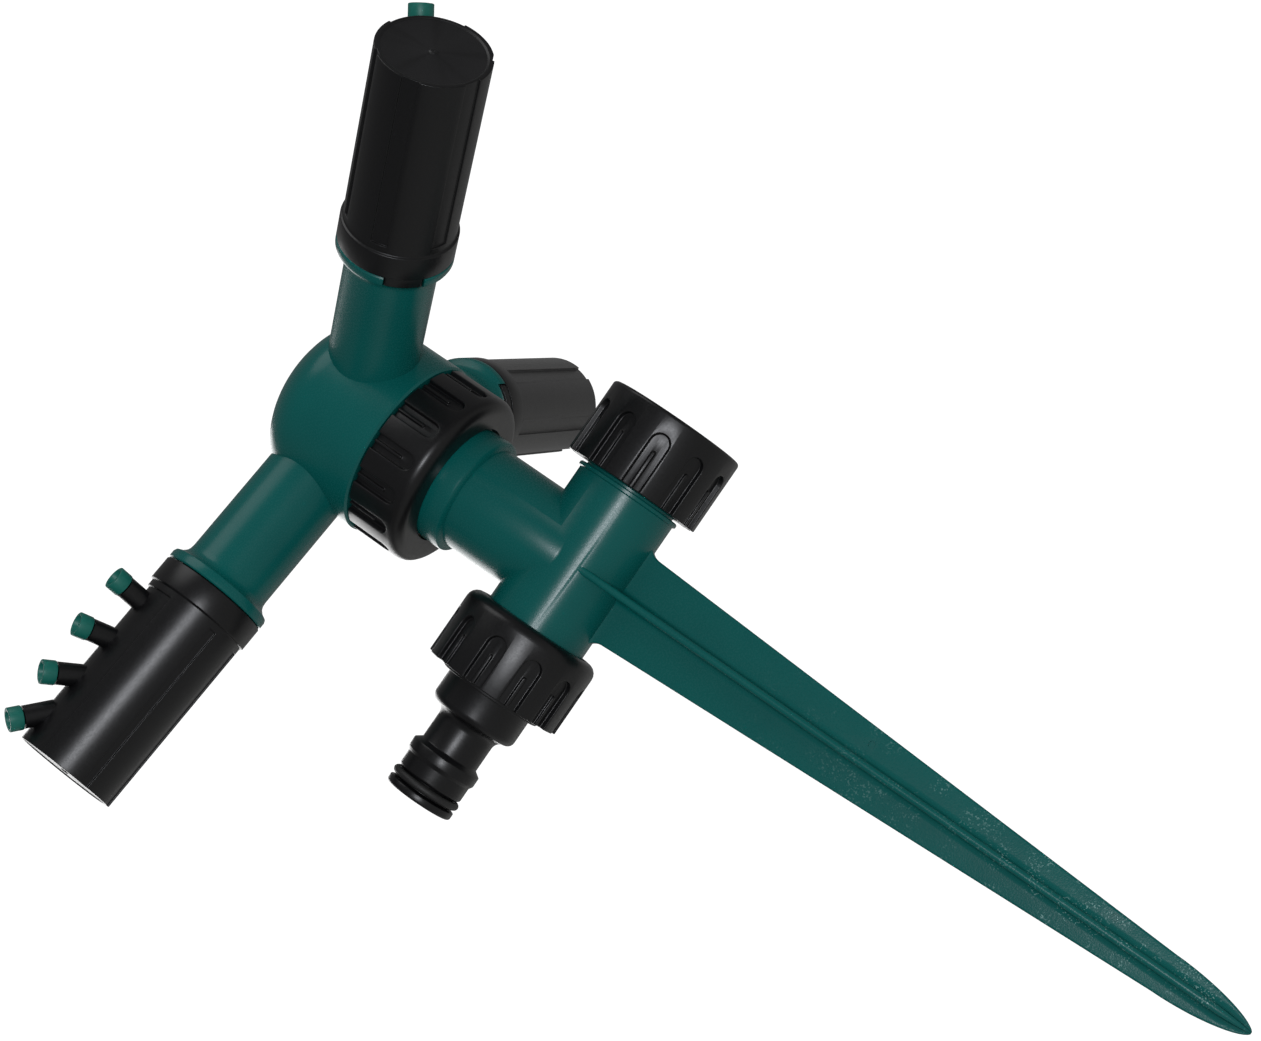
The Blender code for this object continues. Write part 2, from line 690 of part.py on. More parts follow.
def blank_cap(frame):
    """A closed cap with finger grooves that open at its mouth; local Z runs from the tube out to its end."""
    inner = CROSS_HALF + 2 * GAP + CAP_WASHER
    edge = arc((CAP_R - CAP_ROUND, CAP_END_X - CAP_ROUND), CAP_ROUND, 90, 0, 4)
    profile = [(0, CAP_END_X), *edge, (CAP_R, CAP_MOUTH_X), (CAP_BORE_R, CAP_MOUTH_X), (CAP_BORE_R, inner)]
    profile += [(CAP_CORE_R, inner), (CAP_CORE_R, inner + CAP_CORE_DEPTH), (0, inner + CAP_CORE_DEPTH)]
    cap = place(turned("blank_cap", profile), frame)
    size = (CAP_R, CAP_GROOVE_LENGTH, CAP_GROOVE_HALF)
    grooves = finger_grooves("cap_grooves", CAP_GROOVES, *size, CAP_GROOVE_TURN)
    combine(cap, "DIFFERENCE", place(grooves, frame, (0, 0, CAP_MOUTH_X)))
    as_part(settle(cap), BLACK, 0.35)
    base = CROSS_HALF + GAP
    washer = sleeve("cap_washer", CAP_BORE_R - GAP, CAP_WASHER_BORE_R, base, base + CAP_WASHER)
    as_part(place(settle(washer), frame), RUBBER, 0.7)


def connector_nut(frame):
    """The captive nut: round at its mouth, with a lip that holds the hose tail's flange."""
    lip = CONNECTOR_END_X - CONNECTOR_LIP
    boss = CONNECTOR_END_X + CONNECTOR_BOSS
    mouth = CONNECTOR_MOUTH_X
    edge = arc((CAP_R - CONNECTOR_ROUND, mouth + CONNECTOR_ROUND), CONNECTOR_ROUND, 0, -90, 7)
    profile = [
        (CONNECTOR_BOSS_R, boss),
        (CONNECTOR_BOSS_R, CONNECTOR_END_X),
        (CAP_R - 0.3 * MM, CONNECTOR_END_X),
        (CAP_R, CONNECTOR_END_X - 0.3 * MM),
        *edge,
        (CONNECTOR_COUNTERBORE_R, mouth),
        (CONNECTOR_COUNTERBORE_R, CONNECTOR_COUNTERBORE_X),
        (CAP_BORE_R, CONNECTOR_COUNTERBORE_X),
        (CAP_BORE_R, lip),
        (CONNECTOR_HOLE_R, lip),
        (CONNECTOR_HOLE_R, boss),
    ]
    nut = place(turned("connector_nut", profile, ring=True), frame)
    size = (CAP_R, CONNECTOR_GROOVE_LENGTH, CAP_GROOVE_HALF)
    grooves = finger_grooves("nut_grooves", CAP_GROOVES, *size, CONNECTOR_GROOVE_TURN)
    place(grooves, frame, (0, 0, CONNECTOR_END_X), (pi, 0, 0))
    combine(nut, "DIFFERENCE", grooves)
    return as_part(settle(nut), BLACK, 0.35)


def hose_tail(frame):
    """The quick-connect tail, from its flange inside the nut out to its open end."""
    base = TAIL_BASE_X
    tail_end = base + TAIL_LENGTH
    seat = CROSS_HALF + 2 * GAP + CONNECTOR_WASHER
    shoulder = seat + TAIL_FLANGE
    profile = [
        *[(radius, base + reach) for radius, reach in TAIL_OUTSIDE],
        *arc((TAIL_WAIST_CENTRE_R, base + TAIL_WAIST_AT), TAIL_WAIST_ROUND, 180, 262, 5),
        (TAIL_ROOT_R - 0.25 * MM, base + TAIL_ROOT_REACH),
        (TAIL_ROOT_R, base + TAIL_ROOT_REACH - 0.6 * MM),
        (TAIL_ROOT_R, shoulder),
        (TAIL_FLANGE_R, shoulder),
        (TAIL_FLANGE_R, seat),
        (TAIL_BORE_R, seat),
        (TAIL_BORE_R, tail_end - 0.6 * MM),
        (TAIL_BORE_R + 0.6 * MM, tail_end),
    ]
    tail = settle(turned("hose_tail", profile, SMALL_STEPS, ring=True))
    as_part(place(tail, frame), BLACK, 0.33)
    ring = o_ring("tail_o_ring", TAIL_RING_R, TAIL_RING_SECTION, base + TAIL_RING_AT)
    as_part(place(settle(ring), frame), RUBBER, 0.5)
    foot = CROSS_HALF + GAP
    washer = sleeve("connector_washer", CAP_BORE_R - GAP, TAIL_BORE_R + MM, foot, foot + CONNECTOR_WASHER)
    as_part(place(settle(washer), frame), RUBBER, 0.7)


def build():
    centre = empty("cross_centre", location=(0, 0, CROSS_Z))
    rotor = empty("rotor_axis", centre)
    cap_frame = empty("cap_axis", centre, rotation=(0, pi / 2, 0))
    connector_frame = empty("connector_axis", centre, rotation=(0, -pi / 2, 0))
    spike_body(centre)
    swivel_spigot(centre)
    swivel_washers(centre)
    swivel_nut(rotor)
    arms = [arm_frame(rotor, number, azimuth) for number, azimuth in enumerate(ARM_AZIMUTHS, 1)]
    rotor_hub(rotor, arms)
    nozzles(arms)
    blank_cap(cap_frame)
    connector_nut(connector_frame)
    hose_tail(connector_frame)


build()
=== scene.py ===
# %% [markdown]
# # A three-arm lawn sprinkler on a ground spike
# The measured model comes in first and stays where it is. Each piece that you can see is then modelled
# finer in the same place, given its plastic or rubber, and told which moving body it rides on.

# %% Load the measured model
from math import atan2, cos, hypot, pi, radians, sin

import bmesh
import bpy
from mathutils import Matrix, Vector


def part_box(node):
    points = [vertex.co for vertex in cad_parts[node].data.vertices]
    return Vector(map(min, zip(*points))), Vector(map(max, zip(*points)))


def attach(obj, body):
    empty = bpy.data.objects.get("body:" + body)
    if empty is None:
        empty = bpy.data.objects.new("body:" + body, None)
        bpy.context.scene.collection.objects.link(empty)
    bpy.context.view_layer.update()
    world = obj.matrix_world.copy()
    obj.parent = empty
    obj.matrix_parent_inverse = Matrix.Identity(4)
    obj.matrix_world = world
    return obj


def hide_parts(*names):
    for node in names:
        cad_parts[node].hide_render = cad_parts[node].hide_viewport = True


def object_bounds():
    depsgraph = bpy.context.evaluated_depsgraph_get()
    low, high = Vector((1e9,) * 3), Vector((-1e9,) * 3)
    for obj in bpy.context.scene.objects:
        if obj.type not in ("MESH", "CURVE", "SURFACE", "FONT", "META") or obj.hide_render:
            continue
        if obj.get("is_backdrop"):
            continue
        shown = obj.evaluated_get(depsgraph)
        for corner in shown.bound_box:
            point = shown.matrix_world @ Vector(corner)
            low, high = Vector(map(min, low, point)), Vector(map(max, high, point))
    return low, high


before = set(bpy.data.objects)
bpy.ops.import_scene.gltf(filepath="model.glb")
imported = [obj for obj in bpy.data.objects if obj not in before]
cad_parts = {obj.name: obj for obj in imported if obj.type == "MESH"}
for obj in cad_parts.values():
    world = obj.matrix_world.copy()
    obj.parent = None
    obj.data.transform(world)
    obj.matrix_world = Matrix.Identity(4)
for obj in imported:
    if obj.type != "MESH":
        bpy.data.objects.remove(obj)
cad_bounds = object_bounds()
MM = 0.001

# %% [markdown]
# The sprinkler hangs on two axes. Water comes in along the cross tube, which lies along X, and the rotor
# turns on an upright axis through the middle of that tube. The tube's height is read from the cap's box,
# because the middle of a round part's box is its axis. The upright axis is taken through X and Y zero.

# %% Find the two axes
cap_low, cap_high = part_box("blank_cap")
nut_low, nut_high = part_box("swivel_nut")
CROSS_Z = (cap_low.z + cap_high.z) / 2
CENTRE = Vector((0, 0, CROSS_Z))
print("cross tube's axis is at height", round(CROSS_Z / MM, 2), "mm")
print("cap is", round((cap_high.x - cap_low.x) / MM, 1), "mm long")
print("ring nut is", round((nut_high.z - nut_low.z) / MM, 1), "mm high")

# %% [markdown]
# Nearly every piece here is round, and was moulded in a turned steel tool. The same idea works in Blender:
# draw half of the piece's section as a chain of points, then spin it about its axis. A plane that is merged
# to one point gives a first vertex to extrude the chain from.

# %% Draw a chain of points
def draw_chain(name, points):
    bpy.ops.object.select_all(action="DESELECT")
    bpy.ops.mesh.primitive_plane_add(size=MM)
    obj = bpy.context.object
    obj.name = name
    obj.data.name = name
    bpy.ops.object.mode_set(mode="EDIT")
    bpy.ops.mesh.select_all(action="SELECT")
    bpy.ops.mesh.merge(type="CENTER")
    bpy.ops.transform.translate(value=points[0])
    for here, there in zip(points, points[1:]):
        step = [b - a for a, b in zip(here, there)]
        bpy.ops.mesh.extrude_vertices_move(TRANSFORM_OT_translate={"value": step})
    return obj


def close_chain(obj):
    work = bmesh.from_edit_mesh(obj.data)
    work.verts.ensure_lookup_table()
    bpy.ops.mesh.select_all(action="DESELECT")
    work.verts[0].select = True
    work.verts[-1].select = True
    work.select_flush_mode()
    bmesh.update_edit_mesh(obj.data)
    bpy.ops.mesh.edge_face_add()


def clean_up(merge=0.002 * MM):
    bpy.ops.mesh.select_all(action="SELECT")
    bpy.ops.mesh.remove_doubles(threshold=merge)
    bpy.ops.mesh.normals_make_consistent(inside=False)
    bpy.ops.object.mode_set(mode="OBJECT")


def spin_piece(name, section, steps=96, ring=False):
    """Spin (radius, height) points in mm about Z. A ring's section is closed back to its first point."""
    obj = draw_chain(name, [(radius * MM, 0, height * MM) for radius, height in section])
    if ring:
        close_chain(obj)
    bpy.ops.mesh.select_all(action="SELECT")
    bpy.ops.mesh.spin(steps=steps, angle=2 * pi, center=(0, 0, 0), axis=(0, 0, 1))
    clean_up()
    return obj


def round_corner(centre, radius, start, end, count=6):
    """Points on a quarter or so of a circle, as (radius, height) in mm, between two angles in degrees."""
    turns = [radians(start + (end - start) * i / (count - 1)) for i in range(count)]
    return [(centre[0] + radius * cos(t), centre[1] + radius * sin(t)) for t in turns]


print("helpers for round pieces are ready")

# %% [markdown]
# Moulded edges are never knife sharp. A bevel modifier that looks at the angle between faces rounds every
# edge by the same small radius, and applying it at once keeps the mesh plain for the next step. Booleans
# join or cut whole shapes, and the helper shape is deleted when it has done its work.

# %% Round edges, join and cut
def use_modifier(obj, kind, **settings):
    bpy.ops.object.select_all(action="DESELECT")
    bpy.context.view_layer.objects.active = obj
    obj.select_set(True)
    modifier = obj.modifiers.new(kind.lower(), kind)
    for name, value in settings.items():
        setattr(modifier, name, value)
    bpy.ops.object.modifier_apply(modifier=modifier.name)
    return obj


def soften(obj, width, segments=2, angle=30):
    limit = radians(angle)
    return use_modifier(
        obj, "BEVEL", width=width * MM, segments=segments, limit_method="ANGLE", angle_limit=limit)


def combine(obj, other, operation):
    use_modifier(obj, "BOOLEAN", object=other, operation=operation, solver="EXACT")
    bpy.data.objects.remove(other, do_unlink=True)
    return obj


def set_in_place(obj, matrix):
    """Put a piece where it belongs, then move that place into its mesh."""
    bpy.ops.object.select_all(action="DESELECT")
    bpy.context.view_layer.objects.active = obj
    obj.select_set(True)
    obj.matrix_world = matrix
    bpy.ops.object.transform_apply(location=True, rotation=True, scale=True)
    return obj


ALONG_CAP = Matrix.Translation(CENTRE) @ Matrix.Rotation(pi / 2, 4, "Y")
ALONG_HOSE = Matrix.Translation(CENTRE) @ Matrix.Rotation(-pi / 2, 4, "Y")
UPRIGHT = Matrix.Translation(CENTRE)
print("edge and join helpers are ready")

# %% [markdown]
# A material is a small graph of nodes. One function adds a node, sets its values and links it to the nodes
# before it. Colours are picked as the hex values that a screen shows, which have to be made linear first.

# %% Material helpers
def linear(hex_colour):
    parts = [int(hex_colour[i : i + 2], 16) / 255 for i in (1, 3, 5)]
    return [c / 12.92 if c <= 0.04045 else ((c + 0.055) / 1.055) ** 2.4 for c in parts] + [1.0]


def add_node(material, kind, settings=None, links=None):
    node = material.node_tree.nodes.new(kind)
    for name, value in (settings or {}).items():
        if isinstance(name, int) or name in node.inputs:
            node.inputs[name].default_value = value
        else:
            setattr(node, name, value)
    for name, socket in (links or {}).items():
        material.node_tree.links.new(socket, node.inputs[name])
    return node


def new_plastic(name, **settings):
    material = bpy.data.materials.new(name)
    material.use_nodes = True
    shader = material.node_tree.nodes["Principled BSDF"]
    for socket, value in settings.items():
        shader.inputs[socket.replace("_", " ")].default_value = value
    return material, shader


print("colour #808080 is", [round(c, 3) for c in linear("#808080")])

# %% [markdown]
# The spike, the cross tube and the rotor are injection-moulded polypropylene, coloured dark green in the
# mass. The tool was spark-eroded, which leaves a fine even grain: the plastic looks satin, and a highlight
# on it breaks into tiny grains. Toward the spike's tip, pale flecks 0.45 mm across are painted glints:
# painted highlights in its colour. The real grain is near 0.15 mm. It is drawn at 0.35 mm, because finer grains
# would vanish in a render.

# %% Green moulded polypropylene
def green_polypropylene(name, tip_z):
    material, shader = new_plastic(name, IOR=1.49, Specular_IOR_Level=0.3)
    place = add_node(material, "ShaderNodeTexCoord").outputs["Object"]
    grain = add_node(material, "ShaderNodeTexNoise", {"Scale": 2800.0, "Detail": 2.0}, {"Vector": place})
    cloud = add_node(material, "ShaderNodeTexNoise", {"Scale": 60.0, "Detail": 3.0}, {"Vector": place})
    tint = add_node(material, "ShaderNodeMix", {"data_type": "RGBA", 6: linear("#065A57"), 7: linear("#0B6560")},
                    {0: cloud.outputs["Fac"]})
    shine = add_node(material, "ShaderNodeMapRange", {"To Min": 0.2, "To Max": 0.34},
                     {"Value": grain.outputs["Fac"]})
    height = add_node(material, "ShaderNodeSeparateXYZ", None, {0: place}).outputs["Z"]
    near_tip = add_node(material, "ShaderNodeMapRange", {"From Min": tip_z + 0.14, "From Max": tip_z + 0.045},
                        {"Value": height})
    # Flecks near the tip: pale spots painted into the green as painted glints, painted highlights of a rough
    # surface.
    fleck = add_node(material, "ShaderNodeTexNoise", {"Scale": 2200.0, "Detail": 1.0}, {"Vector": place})
    painted_glint_spots = add_node(material, "ShaderNodeMapRange", {"From Min": 0.60, "From Max": 0.68},
                           {"Value": fleck.outputs["Fac"]})
    patch = add_node(material, "ShaderNodeTexNoise", {"Scale": 140.0, "Detail": 2.0}, {"Vector": place})
    patch_spots = add_node(material, "ShaderNodeMapRange", {"From Min": 0.48, "From Max": 0.64},
                           {"Value": patch.outputs["Fac"]})
    there = add_node(material, "ShaderNodeMath", {"operation": "MULTIPLY"},
                     {0: near_tip.outputs["Result"], 1: patch_spots.outputs["Result"]})
    # share is the mask of the painted glint flecks. Under them the roughness is also lowered.
    share = add_node(material, "ShaderNodeMath", {"operation": "MULTIPLY"},
                     {0: there.outputs["Value"], 1: painted_glint_spots.outputs["Result"]})
    duller = add_node(material, "ShaderNodeMath", {"operation": "MULTIPLY_ADD", 1: 0.06},
                      {0: near_tip.outputs["Result"], 2: shine.outputs["Result"]})
    sparkle = add_node(material, "ShaderNodeMath", {"operation": "MULTIPLY_ADD", 1: -0.16},
                       {0: share.outputs["Value"], 2: duller.outputs["Value"]})
    material.node_tree.links.new(sparkle.outputs["Value"], shader.inputs["Roughness"])
    # The pale #7FA8A4 mixed in at these spots is painted light: painted glints, not a colour of the plastic.
    painted_glint_colour = add_node(material, "ShaderNodeMix", {"data_type": "RGBA", 7: linear("#7FA8A4")},
                       {0: share.outputs["Value"], 6: tint.outputs[2]})
    material.node_tree.links.new(painted_glint_colour.outputs[2], shader.inputs["Base Color"])
    depth = add_node(material, "ShaderNodeMapRange", {"To Min": 0.22, "To Max": 0.6},
                     {"Value": near_tip.outputs["Result"]})
    bump = add_node(material, "ShaderNodeBump", {"Distance": 0.06 * MM},
                    {"Strength": depth.outputs["Result"], "Height": grain.outputs["Fac"]})
    material.node_tree.links.new(bump.outputs["Normal"], shader.inputs["Normal"])
    return material


GREEN = green_polypropylene("green_moulded_polypropylene", cad_bounds[0][2])
print("material:", GREEN.name, "with", len(GREEN.node_tree.nodes), "nodes")

# %% [markdown]
# The spike is a long blade crossed by a narrower one, so that it stays stiff but goes easily into soil.
# A blade's width falls evenly and then rounds off at the nose, where a curve of its own keeps the point
# blunt enough to push by hand. A function gives the half-width at any height, for the rings that follow.

# %% Outline of a blade
NOSE, TIP = -164.0, -186.8
TOP_HALF, NOSE_HALF = 12.65, 4.9
CROSS_R = 13.2


def blade_half(height):
    """Half-width of a blade in mm, at a height below the cross tube's axis."""
    if height > NOSE:
        return NOSE_HALF + (TOP_HALF - NOSE_HALF) * (height - NOSE) / (-2.0 - NOSE)
    share = (height - NOSE) / (TIP - NOSE)
    return NOSE_HALF * max(0.0, 1 - share**1.8) ** 0.6


nose_line = [NOSE + (TIP - NOSE) * sin(pi / 2 * i / 14) for i in range(15)]
print("blade is", round(2 * blade_half(-16.0), 1), "mm wide below the tube and",
      round(2 * NOSE_HALF, 1), "mm at the nose")

# %% [markdown]
# Seen end on, the spike is a cross with rounded ends and a fillet in each inner corner, which lets it slide
# out of its mould. At every height the section is the same cross with longer or shorter arms, so a ring of
# points is laid at each height and the rings are bridged. Just under the cross tube the wide blade's arms
# spread along a 3 mm quarter circle, which keeps the spike from snapping off there.

# %% Rings of the spike's section
WIDE_HALF, NARROW_HALF, INNER = 1.2, 0.95, 1.6
ROOT_FOOT = -CROSS_R - 3.0 + 0.6


def cross_ring(wide, narrow, height):
    """One ring of the cross in mm, with arms of these half-lengths. Near the tip the whole cross shrinks."""
    shrink = min(1.0, wide / 3.2)
    wide_reach, narrow_reach = wide / shrink, max(narrow, 0.01) / shrink
    quarter = round_corner((wide_reach - 0.5, WIDE_HALF - 0.5), 0.5, 0, 90, 4)
    quarter += round_corner((NARROW_HALF + INNER, WIDE_HALF + INNER), INNER, 270, 180, 6)
    quarter += round_corner((NARROW_HALF - 0.85, narrow_reach - 0.85), 0.85, 0, 90, 5)
    ring = quarter + [(-x, y) for x, y in reversed(quarter)]
    ring += [(-x, -y) for x, y in quarter] + [(x, -y) for x, y in reversed(quarter)]
    return [(x * shrink, y * shrink, height) for x, y in ring]


def wide_reach_at(height):
    """The wide blade's half-width in mm, with its fillet into the cross tube."""
    rise = min(max(height - ROOT_FOOT, 0.0), 3.0)
    return blade_half(height) + 3.0 - (9.0 - rise**2) ** 0.5


print("the wide blade is", round(2 * wide_reach_at(-12.6), 1), "mm wide where it meets the tube")

# %% Bridge the rings to a spike
def bridge_rings(name, rings):
    mesh = bpy.data.meshes.new(name)
    obj = bpy.data.objects.new(name, mesh)
    bpy.context.collection.objects.link(obj)
    work = bmesh.new()
    rows = [[work.verts.new(Vector(point) * MM) for point in ring] for ring in rings]
    count = len(rings[0])
    for upper, lower in zip(rows, rows[1:]):
        for i in range(count):
            j = (i + 1) % count
            work.faces.new((upper[i], upper[j], lower[j], lower[i]))
    work.faces.new(rows[0])
    work.faces.new(rows[-1])
    bmesh.ops.recalc_face_normals(work, faces=work.faces)
    work.to_mesh(mesh)
    work.free()
    return obj


root_heights = [-2, -7, -11, -12.6, -12.8, -13.2, -13.8, -14.6, -15.6]
heights = root_heights + list(range(-24, -164, -10)) + nose_line[:-1]
rings = [cross_ring(wide_reach_at(h), blade_half(h), h) for h in heights]
spike = bridge_rings("spike_blades", rings)
for x, height in ((4.9, -82.5), (4.0, -149.1)):
    pin = spin_piece("ejector_mark", [(0, 1.0), (1.0, 1.0), (0.85, -0.2), (0, -0.2)], 24)
    facing = Matrix.Translation(Vector((x, -1.2, height)) * MM) @ Matrix.Rotation(pi / 2, 4, "X")
    combine(spike, set_in_place(pin, facing), "DIFFERENCE")
print("spike has", len(spike.data.polygons), "faces")

# %% [markdown]
# The cross tube carries a male hose thread at each end, a G 3/4 thread with 1.814 mm between its crests.
# Screwing the cap off shows it. A lathe-turned ring for each crest looks the same as the real spiral at
# this size and stays a closed, simple mesh. Round beads where the thread stops give the cap its seat.

# %% Cross tube and riser
def thread_line(end, crest=13.2, root=12.2, pitch=1.814, count=4):
    """Down a threaded end, as (radius, distance) in mm: flat crests and flat roots, one pitch apart."""
    line = [(root - 0.4, end), (root, end - 0.4)]
    for i in range(count):
        top = end - 1.0 - i * pitch
        line += [(root, top), (crest, top - 0.5), (crest, top - 0.8), (root, top - 1.3)]
    return line


half_tube = [(0, 30.0), (11.4, 30.0)] + thread_line(29.8)
half_tube += [(12.2, 21.5), (13.5, 21.5), (13.8, 21.2), (13.8, 20.5), (13.2, 20.2)]
tube = spin_piece("cross_tube", half_tube + [(r, -x) for r, x in reversed(half_tube)])
set_in_place(tube, Matrix.Rotation(pi / 2, 4, "Y"))

collar = [(0, 37.5), (14.9, 37.5), (15.2, 37.2), (15.35, 31.8), (15.2, 31.1), (14.7, 30.6), (13.5, 30.3)]
riser = spin_piece("riser", collar + [(13.5, 2), (11.5, -2), (0, -2)])
print("cross tube and riser are turned")

# %% [markdown]
# Everything green below the swivel is one moulding, so the solids are joined into one mesh, and only then
# is the water's way bored through it. Boring last keeps the passage open where the solids overlap.

# %% Join the base moulding
def plug(name, radius, low, high, steps=64):
    return spin_piece(name, [(0, high), (radius, high), (radius, low), (0, low)], steps)


spike_body = combine(combine(riser, tube, "UNION"), spike, "UNION")
long_bore = spin_piece("long_bore", [(0, 32), (9.9, 32), (9.9, 30), (9.5, 29.6), (9.5, -29.6), (9.9, -30),
                                     (9.9, -32), (0, -32)], 64)
set_in_place(long_bore, Matrix.Rotation(pi / 2, 4, "Y"))
combine(spike_body, long_bore, "DIFFERENCE")
up_bore = spin_piece("up_bore", [(0, 40), (11.5, 40), (11.5, 22), (9, 22), (9, 0), (0, 0)], 64)
combine(spike_body, up_bore, "DIFFERENCE")
spike_body.name = "spike_moulding"
set_in_place(spike_body, UPRIGHT)
print("base moulding has", len(spike_body.data.polygons), "faces")

# %% [markdown]
# A finished piece gets three things: its faces are shaded smooth except across real edges, its material
# goes into its slot, and it is hung on the body it rides on. The measured node that it stands for is hidden.

# %% Hand a finished piece over
def finish_piece(obj, material, body, node, angle=32):
    bpy.ops.object.select_all(action="DESELECT")
    bpy.context.view_layer.objects.active = obj
    obj.select_set(True)
    bpy.ops.object.shade_smooth_by_angle(angle=radians(angle))
    obj.data.materials.clear()
    obj.data.materials.append(material)
    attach(obj, body)
    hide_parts(node)
    triangles = sum(len(face.vertices) - 2 for face in obj.data.polygons)
    print(f"{obj.name}: {triangles} triangles, rides on {body}")
    return obj


finish_piece(spike_body, GREEN, "base", "spike_body")

# %% [markdown]
# The rotor is a second green moulding: a domed hub with three arms, 120 degrees apart. Each arm swells
# where the nozzle tube sits against it, and ends in a thinner spigot with a groove for an O-ring. One arm
# is turned about Z and copied twice, and each copy is tipped outward and joined to the hub.

# %% Rotor hub with three arms
ARM_HEIGHT = 67.7
ARM_TURNS = [radians(a) for a in (-47.1, 72.9, 192.9)]
JET_LEAN = radians(42.0)


def arm_matrix(turn):
    """An arm's own frame: Z runs outward along the arm, and X points down."""
    up = Matrix.Translation(Vector((0, 0, ARM_HEIGHT * MM)))
    return up @ Matrix.Rotation(turn, 4, "Z") @ Matrix.Rotation(pi / 2, 4, "Y")


dome = [(23.3 * sin(pi / 2 * i / 16), 72.5 + 13.5 * cos(pi / 2 * i / 16)) for i in range(17)]
hub = spin_piece("rotor_moulding", dome + [(23.3, 52.9), (22.8, 52.4), (18.8, 52.4), (18.8, 44.8), (0, 44.8)])

flare = [(10.3, 56.0), (13.6, 56.0), (13.9, 55.7), (13.9, 54.2), (13.6, 53.5), (12.4, 52.9), (11.5, 52.0)]
flare += [(11.15, 51.2), (11.0, 50.0)]
spigot_end = [(0, 71.0), (9.9, 71.0), (10.3, 70.6), (10.3, 62.2), (8.7, 62.2), (8.7, 59.8), (10.3, 59.8)]
arm = spin_piece("arm", spigot_end + flare + [(11.0, 14.0), (0, 14.0)], 72)
arm_copies = [arm] + [arm.copy() for _ in ARM_TURNS[1:]]
for copy in arm_copies[1:]:
    copy.data = arm.data.copy()
    bpy.context.collection.objects.link(copy)
for copy, turn in zip(arm_copies, ARM_TURNS):
    set_in_place(copy, arm_matrix(turn))
for copy in arm_copies:
    combine(hub, copy, "UNION")
chamber = [(0, 80), (11.7, 79), (19.5, 72.5), (19.5, 58), (12.0, 58), (12.0, 43), (0, 43)]
combine(hub, spin_piece("chamber", chamber, 64), "DIFFERENCE")
for turn in ARM_TURNS:
    combine(hub, set_in_place(plug("arm_bore", 7.5, 12.0, 73.0, 48), arm_matrix(turn)), "DIFFERENCE")
print("rotor has", len(hub.data.polygons), "faces")

# %% [markdown]
# A notch in each flare takes the nozzle tube's key, which fixes the way that its jets point. A cube, set to
# the notch's size on the flare's rim, cuts it.

# %% Cut the key notches
for turn in ARM_TURNS:
    bpy.ops.object.select_all(action="DESELECT")
    bpy.ops.mesh.primitive_cube_add(size=MM, location=(13.4 * MM, 0, 54.85 * MM))
    notch = bpy.context.object
    notch.scale = (4.0, 9.6, 3.2)
    bpy.ops.object.transform_apply(location=True, rotation=True, scale=True)
    set_in_place(notch, arm_matrix(turn) @ Matrix.Rotation(-JET_LEAN, 4, "Z"))
    combine(hub, notch, "DIFFERENCE")
set_in_place(hub, UPRIGHT)
finish_piece(hub, GREEN, "rotor", "rotor_hub")

# %% [markdown]
# The cap, the hose nut and the swivel's ring nut have finger grooves, so that wet hands can turn them. All
# the grooves are alike, so one share of the ring is modelled flat, where a cut and its bevels come out
# clean, and an array repeats it. Each point is then wrapped round the axis: its distance along Y becomes an
# angle. Thin slices across the flat strip let it go round without corners.

# %% Model one share flat, repeat it and wrap it round
def extrude_outline(name, points, step):
    """Fill a chain of points, in mm, and extrude the face by a step to a closed solid."""
    obj = draw_chain(name, [Vector(point) * MM for point in points])
    bpy.ops.mesh.select_all(action="SELECT")
    bpy.ops.mesh.edge_face_add()
    bpy.ops.mesh.extrude_region_move(TRANSFORM_OT_translate={"value": Vector(step) * MM})
    clean_up()
    return obj


def flat_share(name, section, radius, count):
    """Extrude a ring's section, in mm, along Y by the length of one share of its outside."""
    share = 2 * pi * radius / count
    return extrude_outline(name, [(r, 0, z) for r, z in section], (0, share, 0)), share


def wrap_round(obj, radius, share, count, slices, bevel=0.3):
    work = bmesh.new()
    work.from_mesh(obj.data)
    ends = [f for f in work.faces if abs(f.normal.y) > 0.99]
    ends = [f for f in ends if all(min(abs(v.co.y), abs(v.co.y - share * MM)) < 1e-6 for v in f.verts)]
    bmesh.ops.delete(work, geom=ends, context="FACES_ONLY")
    work.to_mesh(obj.data)
    work.free()
    soften(obj, bevel, 3)
    bpy.ops.object.mode_set(mode="EDIT")
    for i in range(1, slices):
        bpy.ops.mesh.select_all(action="SELECT")
        bpy.ops.mesh.bisect(plane_co=(0, share * MM * i / slices, 0), plane_no=(0, 1, 0))
    bpy.ops.object.mode_set(mode="OBJECT")
    if count > 1:
        use_modifier(obj, "ARRAY", count=count, use_relative_offset=False, use_constant_offset=True,
                     constant_offset_displace=(0, share * MM, 0), use_merge_vertices=True, merge_threshold=1e-6)
    for vertex in obj.data.vertices:
        turn = vertex.co.y / (radius * MM)
        vertex.co = (vertex.co.x * cos(turn), vertex.co.x * sin(turn), vertex.co.z)
    bpy.ops.object.mode_set(mode="EDIT")
    clean_up(0.005 * MM)
    return obj


print("helpers for grooved rings are ready")

# %% [markdown]
# A finger groove is a horseshoe: closed and round at one end, open at the other, with a low rib up its
# middle. A deep horseshoe is cut first, which leaves the rib standing, and a shallower strip then lowers it.

